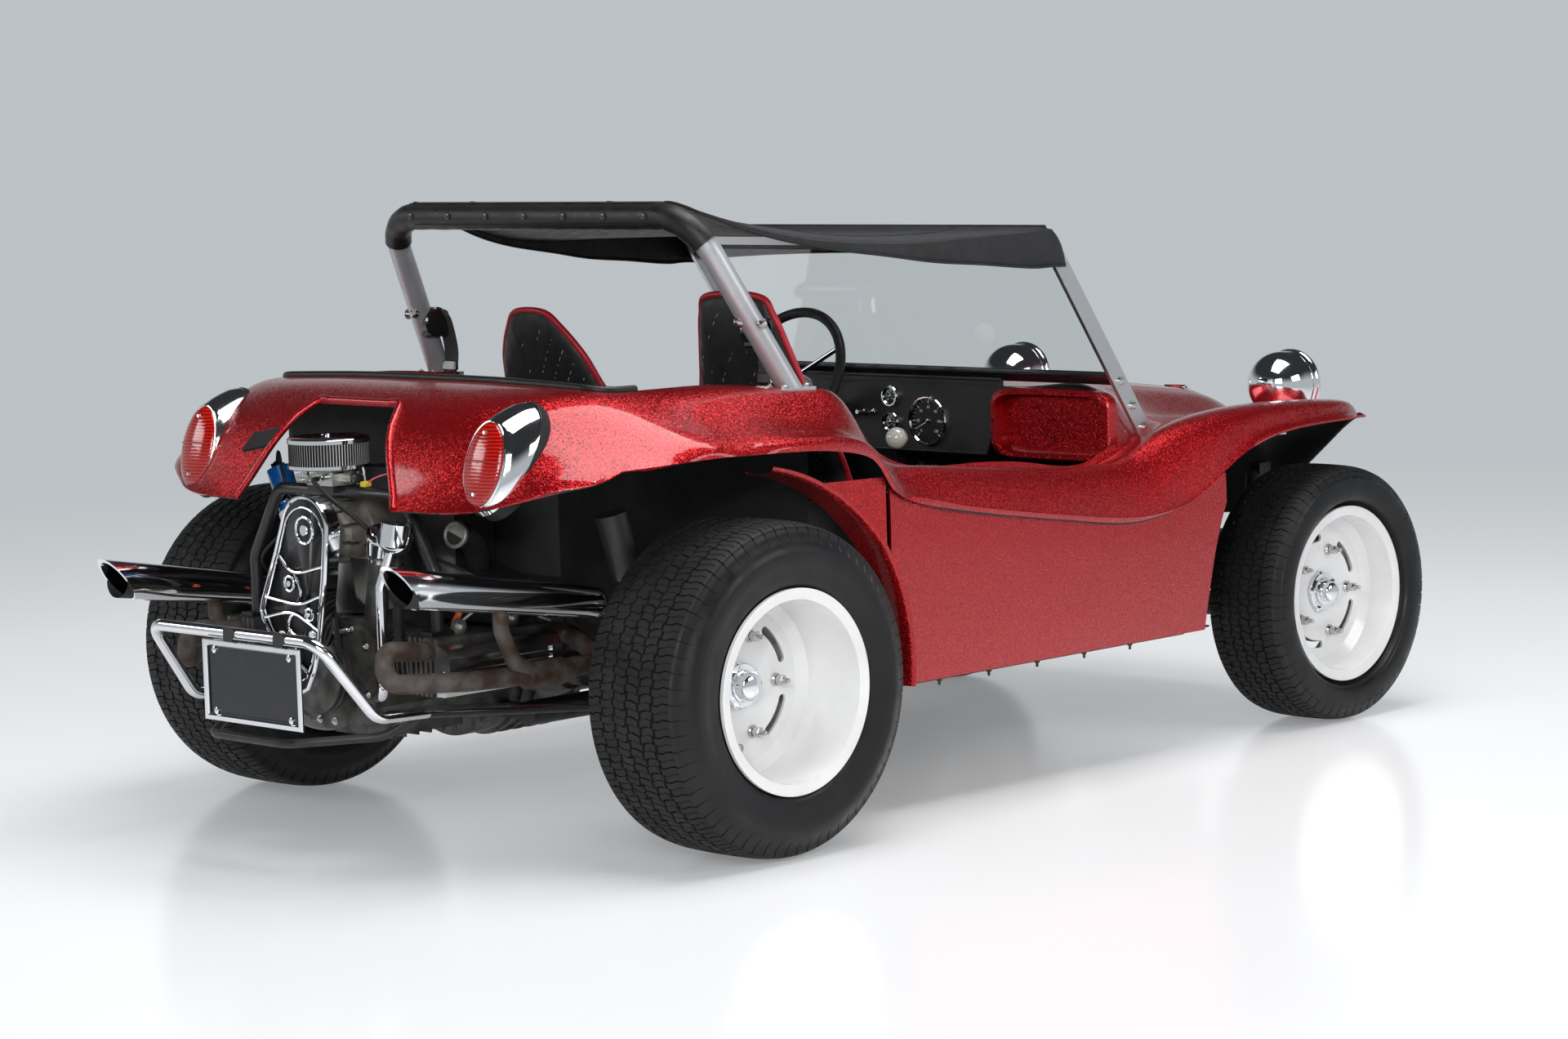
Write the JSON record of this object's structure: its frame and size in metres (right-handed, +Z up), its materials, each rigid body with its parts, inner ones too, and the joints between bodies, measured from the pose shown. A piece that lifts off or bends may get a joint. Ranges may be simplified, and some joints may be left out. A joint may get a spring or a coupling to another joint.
{
  "type": "open two-seat dune buggy",
  "caption": "Open fibreglass dune buggy with a rear air-cooled engine, roll bar, cloth top and deep-dish wheels; it rolls and steers.",
  "frame": {"origin": "on the ground at the middle of the car's length and width", "axes": "+X forward, +Y to the car's left, +Z up"},
  "size_m": [3.168, 1.739, 1.3103],
  "materials": {
    "body_paint": "candy red with metal flake, glossy, over glass fibre",
    "white_paint": "gloss white enamel",
    "tyre_rubber": "satin black rubber",
    "chrome": "polished plate",
    "cast_alloy": "oily cast alloy",
    "bright_alloy": "bright satin",
    "black_steel": "satin black",
    "black_finish": "black",
    "black_plastic": "black",
    "rusty_steel": "heat stained, rusty",
    "lamp_red": "clear red lens in a bright bezel",
    "clear_glass": "clear",
    "silver_paint": "silver",
    "black_vinyl": "grained vinyl cloth",
    "seat_vinyl": "quilted black with red piping",
    "webbing": "woven black"
  },
  "bodies": {
    "root": {"air_cleaner": "chrome", "alternator": "cast_alloy", "belt_guard": "chrome", "body_shell": "body_paint", "cabin_controls": "black_steel", "canopy": "black_vinyl", "carburettor": "cast_alloy", "cylinder_banks": "cast_alloy", "engine_case": "cast_alloy", "engine_fittings": "chrome", "exhaust_header": "rusty_steel", "fan_shroud": "black_steel", "floor_pan": "black_steel", "front_arms": "black_steel", "front_beam": "black_steel", "front_bumper": "chrome", "fuel_tank": "black_steel", "guard_bar": "chrome", "headlamps": "chrome", "hood_hinges": "chrome", "instrument_panel": "black_finish", "intake_manifold": "bright_alloy", "licence_plate": "black_finish", "mufflers": "chrome", "rear_frame": "black_steel", "rear_shelf_pad": "black_vinyl", "rear_suspension": "black_steel", "roll_bar": "silver_paint", "seat_belts": "webbing", "seats": "seat_vinyl", "side_panel_left": "body_paint", "side_panel_right": "body_paint", "steering_column": "black_steel", "tail_lamps": "lamp_red", "transaxle": "cast_alloy", "tub": "black_finish", "valve_covers": "bright_alloy", "windshield_frame": "bright_alloy", "windshield_glass": "clear_glass"},
    "hood": {"hood": "body_paint"},
    "steering_wheel": {"steering_wheel": "black_plastic"},
    "knuckle_left": {"knuckle_left": "black_steel"},
    "knuckle_right": {"knuckle_right": "black_steel"},
    "tie_rod_left": {"tie_rod_left": "black_steel"},
    "tie_rod_right": {"tie_rod_right": "black_steel"},
    "pitman": {"pitman_arm": "black_steel"},
    "wheel_rear_left": {"rim_rear_left": "white_paint", "tyre_rear_left": "tyre_rubber", "hub_rear_left": "chrome"},
    "wheel_rear_right": {"rim_rear_right": "white_paint", "tyre_rear_right": "tyre_rubber", "hub_rear_right": "chrome"},
    "wheel_front_left": {"rim_front_left": "white_paint", "tyre_front_left": "tyre_rubber", "hub_front_left": "chrome"},
    "wheel_front_right": {"rim_front_right": "white_paint", "tyre_front_right": "tyre_rubber", "hub_front_right": "chrome"}
  },
  "joints": [
    {"name": "wheel_rear_left_spin", "type": "hinge", "parent": "root", "child": "wheel_rear_left", "pos_m": [-0.836, 0.727, 0.34], "axis": [0, 1, 0], "continuous": true},
    {"name": "steer_left", "type": "hinge", "parent": "root", "child": "knuckle_left", "pos_m": [1.196, 0.47, 0.304], "axis": [0, 0, 1], "range_deg": [-28, 28]},
    {"name": "wheel_front_left_spin", "type": "hinge", "parent": "knuckle_left", "child": "wheel_front_left", "pos_m": [1.196, 0.614, 0.304], "axis": [0, 1, 0], "continuous": true},
    {"name": "wheel_rear_right_spin", "type": "hinge", "parent": "root", "child": "wheel_rear_right", "pos_m": [-0.836, -0.727, 0.34], "axis": [0, 1, 0], "continuous": true},
    {"name": "steer_right", "type": "hinge", "parent": "root", "child": "knuckle_right", "pos_m": [1.196, -0.47, 0.304], "axis": [0, 0, 1], "range_deg": [-28, 28]},
    {"name": "wheel_front_right_spin", "type": "hinge", "parent": "knuckle_right", "child": "wheel_front_right", "pos_m": [1.196, -0.614, 0.304], "axis": [0, 1, 0], "continuous": true},
    {"name": "pitman_turn", "type": "hinge", "parent": "root", "child": "pitman", "pos_m": [1.196, 0.268, 0.372], "axis": [0, 0, 1], "range_deg": [-28, 28]},
    {"name": "tie_rod_left_turn", "type": "hinge", "parent": "pitman", "child": "tie_rod_left", "pos_m": [1.066, 0.288, 0.372], "axis": [0, 0, 1], "range_deg": [-28, 28]},
    {"name": "tie_rod_right_turn", "type": "hinge", "parent": "pitman", "child": "tie_rod_right", "pos_m": [1.066, 0.248, 0.372], "axis": [0, 0, 1], "range_deg": [-28, 28]},
    {"name": "steering_wheel_turn", "type": "hinge", "parent": "root", "child": "steering_wheel", "pos_m": [0.304, 0.272, 0.85], "axis": [-0.8985, 0, 0.4389], "range_deg": [-392, 392]},
    {"name": "hood_hinge", "type": "hinge", "parent": "root", "child": "hood", "pos_m": [1.295, 0, 0.77], "axis": [0, 1, 0], "range_deg": [0, 60]}
  ],
  "couplings": [
    {"joint": "steer_right", "follows": "steer_left", "ratio": 1},
    {"joint": "pitman_turn", "follows": "steer_left", "ratio": 1},
    {"joint": "tie_rod_left_turn", "follows": "steer_left", "ratio": -1},
    {"joint": "tie_rod_right_turn", "follows": "steer_left", "ratio": -1},
    {"joint": "steering_wheel_turn", "follows": "steer_left", "ratio": 14}
  ]
}
